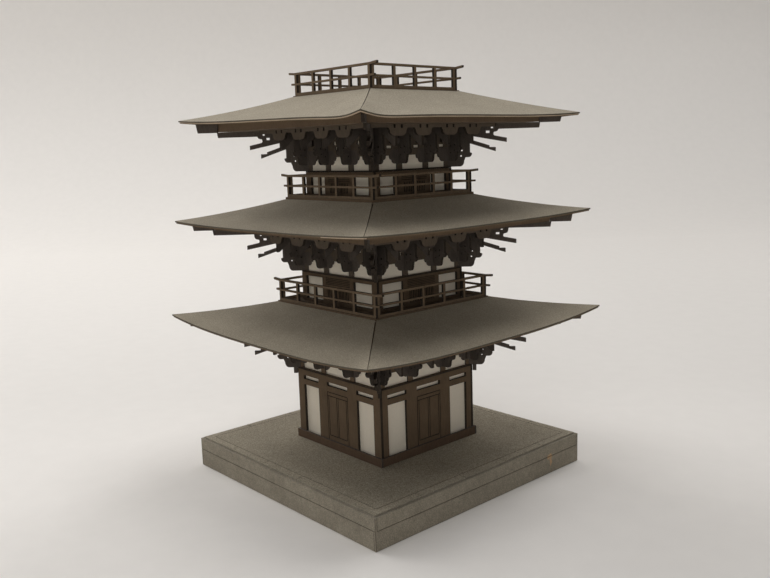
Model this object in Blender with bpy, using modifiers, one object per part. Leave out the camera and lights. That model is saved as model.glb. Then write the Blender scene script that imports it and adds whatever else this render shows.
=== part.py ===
"""A card scale model of a square pagoda: a stepped base, three storeys, three roofs and a top balcony.

The origin is at the centre of the base's underside and +Z is up. Sizes are in millimetres of the model
and are turned into metres where a mesh is made. The front is the -Y side.
"""
import math

import bmesh
import bpy
from mathutils import Matrix, Vector
from mathutils.geometry import delaunay_2d_cdt

MM = 0.001
FIT = 0.05  # clearance between two glued pieces
CARD = 1.0  # thickness of the brown sheets
LAP = 0.2  # how far a sheet's end stays inside the face of the sheet that it is glued into
SIDES = ("front", "right", "back", "left")
ROOT2 = math.sqrt(2)
WELD = 0.002  # points nearer than this are one point
FLAT_ANGLE = math.radians(0.1)  # faces that meet at less than this are one face
WITHIN_OUTLINE = 1  # the kind of triangulation wanted

# Base
BASE_HALF = 50.0
COURSE_WALL = 2.0
LOWER_COURSE_TOP = 6.1
UPPER_COURSE_TOP = 10.45
PLATE_TOP = 10.95
PLATE_INSET = 1.0
FLOOR_THICKNESS = 1.5
SILL_TOP = 13.95
SILL_THICKNESS = 0.75

# One entry for each storey, from the ground up
WALL_HALF = (22.8, 20.5, 18.3)
FLOOR = (PLATE_TOP, 63.0, 100.5)
FRAME_TOP = (37.2, 73.4, 109.1)
SOFFIT = (54.1, 89.4, 124.1)
EAVE_HALF = (55.3, 52.75, 50.0)
TIP = (58.2, 93.2, 127.5)
TIP_LIFT = (2.35, 0.9, 1.05)
HIP_SLOPE = (0.1, 0.15, 0.208)
HIP_CURVE = (0.0021, 0.0027, 0.00214)

# One entry for each balcony, above each roof
DECK_TOP = (63.0, 100.5, 135.7)
RAIL_HALF = (26.6, 23.25, 20.05)
RAIL_BAYS = (5, 5, 4)

# Wall frames: the inner and outer edges of the windows, with the door between the inner ones
WINDOW = ((10.65, 19.35), (8.55, 17.95), (7.65, 15.55))
WINDOW_TOP = (31.7, 72.3, 107.6)
SLOT = (10.6, 19.4)
SLOT_CENTRE_HALF = 5.7
SLOT_BOTTOM = 33.75
SLOT_TOP = 35.2
WINDOW_ABOVE_FLOOR = 1.0

# Brackets, measured up from the top of the ledge and out from the wall
BRACKET_LINE = (8.1, 6.9, 6.15)  # from the middle of each side
LEDGE = 0.5
WALL_PLATE = 0.5  # thickness of the sheet with the necks and arms, set back from the frame
NECK_HALF = 1.2
ARM_BOTTOM = 1.9
# The two lobes of an arm in the wall's plane: from their lower end, level, to their upper end, upright
LOWER_LOBE = ((1.9, ARM_BOTTOM), (3.3, 3.2))
UPPER_LOBE = ((3.6, 3.3), (4.4, 4.6))
# The small holes in the tie, left of the middle of each bay: lower and upper edge, half width at each
TIE_HOLE = (8.6, 9.9, 0.75, 0.35)
TIE_HOLE_SHIFT = -1.9
PURLIN_OUT = 10.9
PURLIN_BOTTOM = 13.3
PURLIN_ARM_HALF = 4.1
PURLIN_LOBE = ((1.6, 10.8), (3.5, 12.4))
END_PURLIN_ARM_INSET = 0.9
# A fin on a corner's diagonal, as distances beyond the wall's corner
CORNER_FIN_ROOT = 1.36  # how far it starts inside the corner
FIRST_ARM = ((3.2, 0.0), (4.6, 1.9))
SECOND_ARM = ((6.2, 3.15), (7.4, 4.6))
SECOND_ARM_ROOT = 5.1
ARM_BEARING = (6.7, 4.8)
LOWER_TAIL_RAFTER = [(6.7, 7.8), (15.7, 4.8), (15.7, 6.3), (13.5, 6.35), (13.5, 6.95), (7.4, 8.97)]
UPPER_TAIL_RAFTER = [(7.4, 10.3), (19.55, 7.9), (19.55, 9.3), (15.03, 10.2), (15.03, 11.2), (15.4, 12.0)]
FIN_HEAD = (16.7, 12.5)
FIN_END = 16.94
FIN_FOOT = 1.45  # a tab below the first storey's corner fins
FIN_FOOT_HEIGHT = 1.8
HIP_RAFTER_DROP = 1.9
HIP_RAFTER_STEP = 0.3
HIP_RAFTER_NOSE = 0.6
HIP_BOARD_FALL = 0.5
# A fin that stands straight out from a wall, as distances beyond the wall's face
STRAIGHT_FIN_ROOT = 0.85
STRAIGHT_FIN_END = 10.75
TAIL_FOOT = 9.9
TAIL_TOP = (10.6, 11.7, 11.7)  # the lower edge of its tail, one entry for each storey
TAIL_FALL = 4.0
END_FIN = 0.9  # thickness of the two at the ends of a wall, which cross those of the next wall

# Roofs and eaves
ROOF_CARD = 0.45
UNDERLAY = 0.5
SOFFIT_BOARD = 0.5
SEAM = 0.35
EAVE_CURVE_POWER = 3
LAYER_GAP = 0.15
UNDERLAY_INSET = 0.35
ROOF_STEPS_ACROSS = 8
ROOF_STEPS_OUT = 4
OUTER_BOARD_INSET = 4.4
INNER_BOARD_INSET = 10.0

# Balconies
DECK = 0.8
DECK_OVERHANG = 0.5
ROOF_TO_DECK = 0.2
RAIL_CARD = 0.9
RAIL_HEIGHT = 7.8
POST = 1.0
BOTTOM_RAIL = 0.9
MIDDLE_RAIL = (3.55, 4.2)
MIDDLE_RAIL_REACH = 2.0
MIDDLE_RAIL_RISE = 0.1
TOP_RAIL = 0.75
TOP_RAIL_REACH = 3.3
TOP_RAIL_RISE = 0.33

COLOURS = {
    "grey_card": (0.22, 0.21, 0.17),
    "brown_card": (0.085, 0.062, 0.042),
    "dark_card": (0.04, 0.033, 0.025),
    "sill_card": (0.08, 0.05, 0.033),
    "white_card": (0.62, 0.6, 0.56),
    "tan_card": (0.42, 0.35, 0.26),
}


def clear_scene():
    for obj in list(bpy.data.objects):
        bpy.data.objects.remove(obj, do_unlink=True)


def material(part_name, card):
    """Each sub-part has its own card material."""
    made = bpy.data.materials.new(part_name + "_card")
    made.use_nodes = True
    shader = made.node_tree.nodes["Principled BSDF"]
    shader.inputs["Base Color"].default_value = (*COLOURS[card], 1)
    shader.inputs["Roughness"].default_value = 0.85
    shader.inputs["Metallic"].default_value = 0.0
    return made


def add_object(name, mesh, collection):
    obj = bpy.data.objects.new(name, mesh)
    collection.objects.link(obj)
    return obj


def finish_part(obj, card, parts):
    """Name the mesh, give it its card and move it into the pagoda's collection."""
    for collection in list(obj.users_collection):
        collection.objects.unlink(obj)
    parts.objects.link(obj)
    obj.data.name = obj.name
    obj.data.materials.clear()
    obj.data.materials.append(material(obj.name, card))


def evaluated_mesh(obj):
    """The object's shape with its modifiers, as a welded mesh in its own space."""
    graph = bpy.context.evaluated_depsgraph_get()
    mesh = bpy.data.meshes.new_from_object(obj.evaluated_get(graph))
    bm = bmesh.new()
    bm.from_mesh(mesh)
    bmesh.ops.remove_doubles(bm, verts=bm.verts, dist=WELD * MM)
    bm.to_mesh(mesh)
    bm.free()
    return mesh


def is_card(point, edges):
    """True where a point lies on the sheet: a ray from it then crosses an odd number of edges."""
    crossings = 0
    for a, b in edges:
        if (a.y > point.y) != (b.y > point.y):
            crossings += point.x < a.x + (point.y - a.y) * (b.x - a.x) / (b.y - a.y)
    return crossings % 2 == 1


def fill_cap(bm, height):
    """Fill one face of a sheet again with well shaped triangles, also where its corners are in line."""
    level = [v for v in bm.verts if abs(v.co.z - height) < WELD * MM]
    inside = set(level)
    old = [f for f in bm.faces if all(v in inside for v in f.verts)]
    bmesh.ops.delete(bm, geom=old, context="FACES_ONLY")
    loose = [e for e in bm.edges if not e.link_faces]
    bmesh.ops.delete(bm, geom=loose, context="EDGES")
    number = {v: i for i, v in enumerate(level)}
    rim = [e.verts for e in bm.edges if all(v in inside for v in e.verts)]
    edges = [(number[a], number[b]) for a, b in rim]
    flat = [Vector((v.co.x, v.co.y)) for v in level]
    for triangle in delaunay_2d_cdt(flat, edges, [], WITHIN_OUTLINE, 1e-9)[2]:
        centre = sum((flat[i] for i in triangle), Vector((0, 0))) / 3
        if is_card(centre, [(flat[a], flat[b]) for a, b in edges]):
            bm.faces.new([level[i] for i in triangle])


def cut_sheet(name, outline, holes, thickness, place, collection):
    """A flat sheet cut to an outline in its own XY plane, centred on that plane, then set in place."""
    curve = bpy.data.curves.new(name, "CURVE")
    curve.dimensions = "2D"
    curve.fill_mode = "BOTH"
    curve.extrude = thickness / 2 * MM
    for loop in [outline] + list(holes):
        spline = curve.splines.new("POLY")
        spline.points.add(len(loop) - 1)
        spline.use_cyclic_u = True
        for point, (x, y) in zip(spline.points, loop):
            point.co = (x * MM, y * MM, 0, 1)
    flat = add_object(name + "_curve", curve, collection)
    mesh = evaluated_mesh(flat)
    bpy.data.objects.remove(flat, do_unlink=True)
    bm = bmesh.new()
    bm.from_mesh(mesh)
    fill_cap(bm, thickness / 2 * MM)
    fill_cap(bm, -thickness / 2 * MM)
    bmesh.ops.recalc_face_normals(bm, faces=bm.faces)
    bm.to_mesh(mesh)
    bm.free()
    mesh.transform(place)
    return add_object(name, mesh, collection)


def block(name, low, high, collection):
    bm = bmesh.new()
    bmesh.ops.create_cube(bm, size=1)
    for vert in bm.verts:
        vert.co = [(a + (b - a) * (c + 0.5)) * MM for a, b, c in zip(low, high, vert.co)]
    mesh = bpy.data.meshes.new(name)
    bm.to_mesh(mesh)
    bm.free()
    return add_object(name, mesh, collection)


def join_pieces(name, pieces, work):
    """One closed body from pieces that run into each other."""
    first, rest = pieces[0], pieces[1:]
    group = bpy.data.collections.new(name + "_pieces")
    work.children.link(group)
    for piece in rest:
        group.objects.link(piece)
    union = first.modifiers.new("union", "BOOLEAN")
    union.operation = "UNION"
    union.solver = "EXACT"
    union.operand_type = "COLLECTION"
    union.collection = group
    bpy.context.view_layer.update()
    mesh = evaluated_mesh(first)
    bm = bmesh.new()
    bm.from_mesh(mesh)
    bmesh.ops.dissolve_limit(bm, angle_limit=FLAT_ANGLE, verts=bm.verts, edges=bm.edges)
    bm.to_mesh(mesh)
    bm.free()
    for piece in pieces:
        bpy.data.objects.remove(piece, do_unlink=True)
    bpy.data.collections.remove(group)
    return add_object(name, mesh, work)


def rectangle(x0, y0, x1, y1):
    return [(x0, y0), (x1, y0), (x1, y1), (x0, y1)]


def square(half):
    return rectangle(-half, -half, half, half)


def quarter(start, end, steps=2):
    """Points on a quarter ellipse that leaves its start level and reaches its end upright."""
    (x0, y0), (x1, y1) = start, end
    turns = [math.pi / 2 * i / steps for i in range(1, steps)]
    return [(x0 + (x1 - x0) * math.sin(a), y0 + (y1 - y0) * (1 - math.cos(a))) for a in turns]


def lobe(ends):
    """A lobe with its two ends."""
    return [ends[0], *quarter(*ends), ends[1]]


def mirrored(points):
    return [(-x, y) for x, y in reversed(points)]


def flat_place(height):
    return Matrix.Translation((0, 0, height * MM))


def face_place(side, distance):
    """A sheet parallel to one side: its x runs along the side, its y up and its z outwards."""
    turn = Matrix.Rotation(math.pi / 2 * side, 4, "Z")
    stand = Matrix.Rotation(math.pi / 2, 4, "X")
    return turn @ Matrix.Translation((0, -distance * MM, 0)) @ stand


def fin_place(angle, along):
    """A sheet standing out from the axis: its x runs outwards and its y up."""
    turn = Matrix.Rotation(angle - math.pi / 2, 4, "Z")
    stand = Matrix.Rotation(math.pi / 2, 4, "X")
    return turn @ Matrix.Translation((0, -along * MM, 0)) @ stand


def ring(name, outer, inner, bottom, top, collection):
    middle = (bottom + top) / 2
    return cut_sheet(name, square(outer), [square(inner)], top - bottom, flat_place(middle), collection)


def build_base(parts, work):
    inner = BASE_HALF - COURSE_WALL
    floor = inner - FIT
    plate = BASE_HALF - PLATE_INSET
    bottom = UPPER_COURSE_TOP + FIT
    pieces = [
        block("base_floor", (-floor, -floor, 0), (floor, floor, FLOOR_THICKNESS), work),
        ring("base_lower_course", BASE_HALF, inner, 0, LOWER_COURSE_TOP, work),
        ring("base_upper_course", BASE_HALF, inner, LOWER_COURSE_TOP + FIT, UPPER_COURSE_TOP, work),
        block("base_top_plate", (-plate, -plate, bottom), (plate, plate, PLATE_TOP), work),
    ]
    for piece in pieces:
        finish_part(piece, "grey_card", parts)
    foot = WALL_HALF[0] + FIT
    sill = ring("ground_sill", foot + SILL_THICKNESS, foot, PLATE_TOP + FIT, SILL_TOP, work)
    finish_part(sill, "sill_card", parts)


def build_core(level, parts, work):
    """The white card box inside the brown frames. It carries the deck above it."""
    outer = WALL_HALF[level] - CARD - FIT
    top = DECK_TOP[level] - DECK - FIT
    core = ring(f"wall_core_{level + 1}", outer, outer - CARD, FLOOR[level] + FIT, top, work)
    finish_part(core, "white_card", parts)


def frame_holes(level):
    inner, outer = WINDOW[level]
    bottom = SILL_TOP if level == 0 else FLOOR[level] + WINDOW_ABOVE_FLOOR
    holes = [rectangle(inner, bottom, outer, WINDOW_TOP[level])]
    if level == 0:
        holes.append(rectangle(SLOT[0], SLOT_BOTTOM, SLOT[1], SLOT_TOP))
    holes += [mirrored(hole) for hole in holes]
    if level == 0:
        holes.append(rectangle(-SLOT_CENTRE_HALF, SLOT_BOTTOM, SLOT_CENTRE_HALF, SLOT_TOP))
    return holes


def build_frame(level, parts, work):
    """Four brown sheets with the windows cut out, joined at the corners."""
    half = WALL_HALF[level]
    sheets = []
    for side, name in enumerate(SIDES):
        end = half if side % 2 == 0 else half - LAP
        outline = rectangle(-end, FLOOR[level] + FIT, end, FRAME_TOP[level])
        place = face_place(side, half - CARD / 2)
        sheets.append(cut_sheet(f"frame_{name}", outline, frame_holes(level), CARD, place, work))
    finish_part(join_pieces(f"wall_frame_{level + 1}", sheets, work), "brown_card", parts)


def bracket_arms(level, middle, side_sign):
    """Half of one bracket in the wall's plane, from its neck out to the tie above the white wall."""
    top = FRAME_TOP[level] + LEDGE
    first = [(NECK_HALF, -LEDGE / 2), (NECK_HALF, ARM_BOTTOM), *lobe(LOWER_LOBE), *lobe(UPPER_LOBE)]
    points = [(middle + side_sign * x, top + y) for x, y in first]
    return points if side_sign > 0 else points[::-1]


def wall_plate(level, side, work):
    """The necks and lobed arms of one side, cut with the tie above them from one sheet."""
    half = WALL_HALF[level] - CARD + WALL_PLATE
    top = FRAME_TOP[level] + LEDGE
    spacing = BRACKET_LINE[level]
    end = half - LAP
    outline = [(-end, -LEDGE / 2 + top)]
    outline += bracket_arms(level, -half + NECK_HALF, 1)
    for middle in (-spacing, spacing):
        outline += bracket_arms(level, middle, -1)
        outline += bracket_arms(level, middle, 1)
    outline += bracket_arms(level, half - NECK_HALF, -1)
    outline += [(end, -LEDGE / 2 + top), (end, SOFFIT[level] - FIT), (-end, SOFFIT[level] - FIT)]
    low, high, foot, head = TIE_HOLE
    holes = []
    for bay in (-1, 0, 1):
        middle = 2 * bay * spacing + TIE_HOLE_SHIFT
        shape = [(-foot, low), (foot, low), (head, high), (-head, high)]
        holes.append([(middle + x, top + y) for x, y in shape])
    place = face_place(side, half - WALL_PLATE / 2)
    return cut_sheet(f"plate_{side}", outline, holes, WALL_PLATE, place, work)


def purlin_strip(level, side, work):
    """The outer purlin of one side with a lobed arm under it at each bracket."""
    out = WALL_HALF[level] + PURLIN_OUT
    top = FRAME_TOP[level] + LEDGE
    spacing = BRACKET_LINE[level]
    last = WALL_HALF[level] - END_PURLIN_ARM_INSET
    end = out + CARD / 2 - LAP
    right = lobe(PURLIN_LOBE) + [(PURLIN_ARM_HALF, PURLIN_BOTTOM)]
    outline = [(-end, top + PURLIN_BOTTOM)]
    for middle in (-last, -spacing, spacing, last):
        outline += [(middle + x, top + y) for x, y in mirrored(right) + right]
    outline += [(end, top + PURLIN_BOTTOM), (end, SOFFIT[level] - FIT), (-end, SOFFIT[level] - FIT)]
    return cut_sheet(f"purlin_{side}", outline, [], CARD, face_place(side, out), work)


def fin_arms(reach, lift):
    """The two lobed arms of a fin, seen from the side.

    Their x is scaled by reach: 1 on a corner's diagonal, less on a fin that stands straight out.
    """
    arms = [*lobe(FIRST_ARM), (SECOND_ARM_ROOT, SECOND_ARM[0][1])]
    arms += [*lobe(SECOND_ARM), ARM_BEARING]
    return [(x * reach, y + lift) for x, y in arms]


def straight_fin(level, side, along, thickness, work):
    """A fin that stands straight out from a wall, with one steep tail that ends in the purlin.

    Those of the right and left sides are a little lower, where they cross the others at a corner.
    """
    half = WALL_HALF[level]
    top = FRAME_TOP[level] + LEDGE
    drop = FIT * (side % 2)
    lift = ARM_BOTTOM + 2 * FIT - drop
    soffit = SOFFIT[level] - 3 * FIT - drop - top
    points = [(-STRAIGHT_FIN_ROOT, lift), *fin_arms(1 / ROOT2, lift)]
    points += [(points[-1][0], TAIL_TOP[level]), (TAIL_FOOT, TAIL_TOP[level] - TAIL_FALL)]
    points += [(STRAIGHT_FIN_END, TAIL_TOP[level] - TAIL_FALL), (STRAIGHT_FIN_END, soffit)]
    points += [(-STRAIGHT_FIN_ROOT, soffit)]
    outline = [(half + x, top + y) for x, y in points]
    place = fin_place(math.pi / 2 * side, along)
    return cut_sheet("straight_fin", outline, [], thickness, place, work)


def corner_fin(level, corner, work):
    """A corner's bracket and the stepped hip rafter above it, cut from one sheet on the diagonal."""
    top = FRAME_TOP[level] + LEDGE
    soffit = SOFFIT[level] - 2 * FIT
    start = WALL_HALF[level] * ROOT2
    lift = -2 * FIT
    points = fin_arms(1, lift) + LOWER_TAIL_RAFTER + UPPER_TAIL_RAFTER + [FIN_HEAD]
    points = [(-CORNER_FIN_ROOT, lift), *points]
    outline = [(start + x, top + y) for x, y in points]
    if level == 0:
        foot = top - LEDGE - FIN_FOOT_HEIGHT
        outline[1:1] = [(start + FIT, outline[0][1]), (start + FIT, foot), (start + FIN_FOOT, foot)]
        outline.insert(4, (start + FIN_FOOT, outline[0][1]))
    inner_end = (EAVE_HALF[level] - INNER_BOARD_INSET) * ROOT2 + 2 * FIT
    outer_end = (EAVE_HALF[level] - OUTER_BOARD_INSET) * ROOT2
    low = soffit - HIP_RAFTER_DROP
    step = soffit - 2 * FIT
    hip = [(start + FIN_END, low), (inner_end, low), (inner_end + HIP_RAFTER_STEP, step)]
    hip += [(outer_end - HIP_RAFTER_NOSE, step)]
    hip += [(outer_end, board_bottom(level, outer_end)), (inner_end, board_bottom(level, inner_end))]
    hip += [(inner_end, soffit)]
    outline += hip + [(start - CORNER_FIN_ROOT, soffit)]
    place = fin_place(math.pi / 2 * corner + math.pi / 4, 0)
    return cut_sheet("corner_fin", outline, [], CARD, place, work)


def hip_height(level, half):
    """Height of the roof's upper face on the hip, where its plan is a square of this half side."""
    inset = EAVE_HALF[level] - half
    return TIP[level] + HIP_SLOPE[level] * inset + HIP_CURVE[level] * inset * inset


def roof_height(level, half, across):
    """Height of the roof's upper face, with across going from -1 to 1 between two hips."""
    span = EAVE_HALF[level] - RAIL_HALF[level]
    lift = TIP_LIFT[level] * (half - RAIL_HALF[level]) / span
    return hip_height(level, half) - lift * (1 - abs(across) ** EAVE_CURVE_POWER)


def board_bottom(level, diagonal):
    """Top of the hip rafter, just under the outer soffit board, which falls away from the hip."""
    drop = ROOF_CARD + UNDERLAY + SOFFIT_BOARD + HIP_BOARD_FALL
    return hip_height(level, diagonal / ROOT2) - drop


def build_brackets(level, parts, work):
    half = WALL_HALF[level]
    top = FRAME_TOP[level]
    pieces = [ring("ledge", half, half - CARD - FIT / 2, top + FIT, top + LEDGE, work)]
    for side in range(4):
        pieces.append(wall_plate(level, side, work))
        pieces.append(purlin_strip(level, side, work))
        pieces.append(corner_fin(level, side, work))
        for sign in (-1, 1):
            pieces.append(straight_fin(level, side, sign * BRACKET_LINE[level], CARD, work))
            pieces.append(straight_fin(level, side, sign * (half - CARD / 2), END_FIN, work))
    finish_part(join_pieces(f"bracket_course_{level + 1}", pieces, work), "dark_card", parts)


def roof_sheet(level, side, work):
    """One curved sheet from the deck to the eave, narrower than its side so that the hips stay open."""
    name = f"roof_{level + 1}_{SIDES[side]}"
    inner, outer = RAIL_HALF[level] + DECK_OVERHANG + ROOF_TO_DECK, EAVE_HALF[level]
    bm = bmesh.new()
    bmesh.ops.create_grid(bm, x_segments=ROOF_STEPS_ACROSS, y_segments=ROOF_STEPS_OUT, size=1)
    for vert in bm.verts:
        half = inner + (outer - inner) * (1 - vert.co.y) / 2
        across = math.sin(vert.co.x * math.pi / 2)
        width = half - SEAM
        vert.co = (across * width * MM, -half * MM, roof_height(level, half, across * width / half) * MM)
    mesh = bpy.data.meshes.new(name)
    bm.to_mesh(mesh)
    bm.free()
    obj = add_object(name, mesh, work)
    obj.matrix_world = Matrix.Rotation(math.pi / 2 * side, 4, "Z")
    solid = obj.modifiers.new("card", "SOLIDIFY")
    solid.thickness = ROOF_CARD * MM
    solid.offset = -1
    return obj


def square_loft(name, section, level, collection):
    """A ring that follows the eave's curve.

    Its section lists (half side, drop below the roof, height), where a height of None follows the roof.
    """
    bm = bmesh.new()
    stations = []
    for side in range(4):
        turn = Matrix.Rotation(math.pi / 2 * side, 3, "Z")
        for i in range(ROOF_STEPS_ACROSS):
            across = math.sin((i / ROOF_STEPS_ACROSS - 0.5) * math.pi)
            loop = []
            for half, drop, height in section:
                z = roof_height(level, half, across) - drop if height is None else height
                loop.append(bm.verts.new(turn @ Vector((across * half, -half, z)) * MM))
            stations.append(loop)
    for a, b in zip(stations, stations[1:] + stations[:1]):
        for i in range(len(section)):
            j = (i + 1) % len(section)
            bm.faces.new((a[i], b[i], b[j], a[j]))
    bmesh.ops.recalc_face_normals(bm, faces=bm.faces)
    mesh = bpy.data.meshes.new(name)
    bm.to_mesh(mesh)
    bm.free()
    return add_object(name, mesh, collection)


def roof_stations(level, start):
    """Half sides from start in to the deck, on the rows of the roof sheets."""
    outer = EAVE_HALF[level]
    inner = RAIL_HALF[level] + DECK_OVERHANG + ROOF_TO_DECK
    rows = [outer + (inner - outer) * i / ROOF_STEPS_OUT for i in range(ROOF_STEPS_OUT + 1)]
    return [start] + [row for row in rows if row < start - 0.5]


def build_roof(level, parts, work):
    number = level + 1
    eave = EAVE_HALF[level]
    under = ROOF_CARD + LAYER_GAP
    rows = roof_stations(level, eave - UNDERLAY_INSET)
    underlay = [(row, under, None) for row in rows] + [(row, under + UNDERLAY, None) for row in rows[::-1]]
    finish_part(square_loft(f"eave_underlay_{number}", underlay, level, work), "tan_card", parts)
    board = under + UNDERLAY + LAYER_GAP
    inner = eave - INNER_BOARD_INSET
    rows = roof_stations(level, eave - OUTER_BOARD_INSET)
    soffit = [(row, board, None) for row in rows]
    soffit += [(rows[-1], 0, SOFFIT[level]), (inner, 0, SOFFIT[level]), (inner, board + SOFFIT_BOARD, None)]
    soffit += [(rows[0], board + SOFFIT_BOARD, None)]
    finish_part(square_loft(f"soffit_{number}", soffit, level, work), "brown_card", parts)
    for side in range(4):
        finish_part(roof_sheet(level, side, work), "grey_card", parts)


def rail_panel(level, side, work):
    """One side of a balcony railing: posts and three rails cut from one sheet.

    On the front and back the two upper rails run past the corners.
    """
    half = RAIL_HALF[level]
    base = DECK_TOP[level] + FIT
    ends_open = side % 2 == 0
    edge = half if ends_open else half - RAIL_CARD - FIT
    top = RAIL_HEIGHT
    right = [(edge, 0)]
    if ends_open:
        reach = half + MIDDLE_RAIL_REACH
        low, high = MIDDLE_RAIL
        rise = MIDDLE_RAIL_RISE
        right += [(edge, low), (reach, low + rise), (reach, high + rise), (edge, high)]
        reach = half + TOP_RAIL_REACH
        low, rise = top - TOP_RAIL, TOP_RAIL_RISE
        right += [(edge, low), (reach, low + rise), (reach, top + rise)]
    right += [(edge, top)]
    bays = RAIL_BAYS[level]
    pitch = (2 * edge - POST) / bays
    holes = []
    for bay in range(bays):
        x0 = -edge + POST + bay * pitch
        x1 = x0 + pitch - POST
        holes.append(rectangle(x0, BOTTOM_RAIL, x1, MIDDLE_RAIL[0]))
        holes.append(rectangle(x0, MIDDLE_RAIL[1], x1, top - TOP_RAIL))
    place = face_place(side, half - RAIL_CARD / 2) @ flat_to_height(base)
    name = f"railing_{level + 2}_{SIDES[side]}"
    return cut_sheet(name, right + mirrored(right), holes, RAIL_CARD, place, work)


def flat_to_height(height):
    return Matrix.Translation((0, height * MM, 0))


def build_balcony(level, parts, work):
    half = RAIL_HALF[level] + DECK_OVERHANG
    top = DECK_TOP[level]
    deck = block(f"deck_{level + 2}", (-half, -half, top - DECK), (half, half, top), work)
    finish_part(deck, "brown_card", parts)
    for side in range(4):
        finish_part(rail_panel(level, side, work), "brown_card", parts)


def build():
    clear_scene()
    parts = bpy.data.collections.new("pagoda")
    work = bpy.data.collections.new("workshop")
    bpy.context.scene.collection.children.link(parts)
    bpy.context.scene.collection.children.link(work)
    build_base(parts, work)
    for level in range(3):
        build_core(level, parts, work)
        build_frame(level, parts, work)
        build_brackets(level, parts, work)
        build_roof(level, parts, work)
        build_balcony(level, parts, work)


build()
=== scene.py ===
"""Looks for the card pagoda.

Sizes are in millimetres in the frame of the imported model, until a mesh is made. Storeys, sides and corners
are counted from 0. Side 0 is the front, the -Y side, and corner 1 is the near one, between sides 0 and 1.
"""
import math
import random

import bpy
import numpy as np
from mathutils import Matrix, Vector
from mathutils.geometry import delaunay_2d_cdt


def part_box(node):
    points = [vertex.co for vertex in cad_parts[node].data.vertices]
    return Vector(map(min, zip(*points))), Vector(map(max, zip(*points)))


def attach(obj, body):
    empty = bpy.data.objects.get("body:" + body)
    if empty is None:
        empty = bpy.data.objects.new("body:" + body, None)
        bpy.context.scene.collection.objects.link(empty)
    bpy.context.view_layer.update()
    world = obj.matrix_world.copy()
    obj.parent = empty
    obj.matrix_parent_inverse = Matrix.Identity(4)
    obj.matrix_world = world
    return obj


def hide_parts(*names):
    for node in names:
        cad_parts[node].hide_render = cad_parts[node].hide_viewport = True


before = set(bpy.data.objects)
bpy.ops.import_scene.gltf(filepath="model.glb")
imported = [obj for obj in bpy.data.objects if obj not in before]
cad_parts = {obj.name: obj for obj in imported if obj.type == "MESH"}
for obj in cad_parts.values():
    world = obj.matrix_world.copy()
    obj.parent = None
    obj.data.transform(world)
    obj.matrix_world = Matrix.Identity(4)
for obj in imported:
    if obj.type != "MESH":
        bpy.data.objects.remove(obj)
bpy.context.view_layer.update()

MM = 0.001
ROOT2 = math.sqrt(2)
SIDES = ("front", "right", "back", "left")
LEVELS = range(3)
RANDOM = random.Random(20)

# Camera, fitted to the photograph: place in millimetres and angles in degrees
CAMERA_PLACE = (222.48, -197.08, 116.69)
CAMERA_TURN = 48.262
CAMERA_TILT = 9.64
CAMERA_ROLL = -1.83
FOCAL_PIXELS = 829.1
PHOTO_WIDTH = 770
SENSOR = 36.0


def rectangle(x0, y0, x1, y1):
    return [(x0, y0), (x1, y0), (x1, y1), (x0, y1)]


def corner_of(name, top):
    """A corner of a node's box, in millimetres: 0 is the lowest and 1 the highest."""
    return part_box(name)[top] / MM


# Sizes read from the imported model, one for each storey
WALL_HALF = [corner_of(f"wall_frame_{i + 1}", 1).x for i in LEVELS]
FLOOR = [corner_of(f"wall_frame_{i + 1}", 0).z for i in LEVELS]
FRAME_TOP = [corner_of(f"wall_frame_{i + 1}", 1).z for i in LEVELS]
SOFFIT = [corner_of(f"soffit_{i + 1}", 0).z for i in LEVELS]
EAVE_HALF = [-corner_of(f"roof_{i + 1}_front", 0).y for i in LEVELS]
DECK_TOP = [corner_of(f"deck_{i + 2}", 1).z for i in LEVELS]
RAIL_HALF = [corner_of(f"railing_{i + 2}_right", 1).x for i in LEVELS]
RAIL_TOP = [corner_of(f"railing_{i + 2}_right", 1).z for i in LEVELS]
BASE_HALF = corner_of("base_lower_course", 1).x
FLOOR_SHEET_HALF = corner_of("base_floor", 1).x
LOWER_COURSE_TOP = corner_of("base_lower_course", 1).z
UPPER_COURSE_TOP = corner_of("base_upper_course", 1).z
PLATE_HALF = corner_of("base_top_plate", 1).x
PLATE_BOTTOM = corner_of("base_top_plate", 0).z
PLATE_TOP = corner_of("base_top_plate", 1).z
SILL_HALF = corner_of("ground_sill", 1).x
SILL_BOTTOM = corner_of("ground_sill", 0).z
SILL_TOP = corner_of("ground_sill", 1).z

# Shapes that the solids have too
FIT = 0.05
CARD = 1.0
TIP = (58.2, 93.2, 127.5)
TIP_LIFT = (2.35, 0.9, 1.05)
HIP_SLOPE = (0.1, 0.15, 0.208)
HIP_CURVE = (0.0021, 0.0027, 0.00214)
EAVE_CURVE_POWER = 3
RAIL_BAYS = (5, 5, 4)
WINDOW = ((10.65, 19.35), (8.55, 17.95), (7.65, 15.55))
WINDOW_TOP = (31.7, 72.3, 107.6)
SLOT = (10.6, 19.4)
SLOT_CENTRE_HALF = 5.7
SLOT_BOTTOM = 33.75
SLOT_TOP = 35.2
WINDOW_ABOVE_FLOOR = 0.95
BRACKET_LINE = (8.1, 6.9, 6.15)
LEDGE = 0.5
LEDGE_TOP = [height + LEDGE for height in FRAME_TOP]
WALL_PLATE = 0.5
NECK_HALF = 1.2
ARM_BOTTOM = 1.9
LOWER_LOBE = ((1.9, ARM_BOTTOM), (3.3, 3.2))
UPPER_LOBE = ((3.6, 3.3), (4.4, 4.6))
TIE_HOLE = [(-0.75, 8.6), (0.75, 8.6), (0.35, 9.9), (-0.35, 9.9)]
TIE_HOLE_SHIFT = -1.9
PURLIN_OUT = 10.9
PURLIN_BOTTOM = 13.3
PURLIN_ARM_HALF = 4.1
PURLIN_LOBE = ((1.6, 10.8), (3.5, 12.4))
END_PURLIN_ARM_INSET = 0.9
CORNER_FIN_ROOT = 1.36
FIRST_ARM = ((3.2, 0.0), (4.6, 1.9))
SECOND_ARM = ((6.2, 3.15), (7.4, 4.6))
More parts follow.
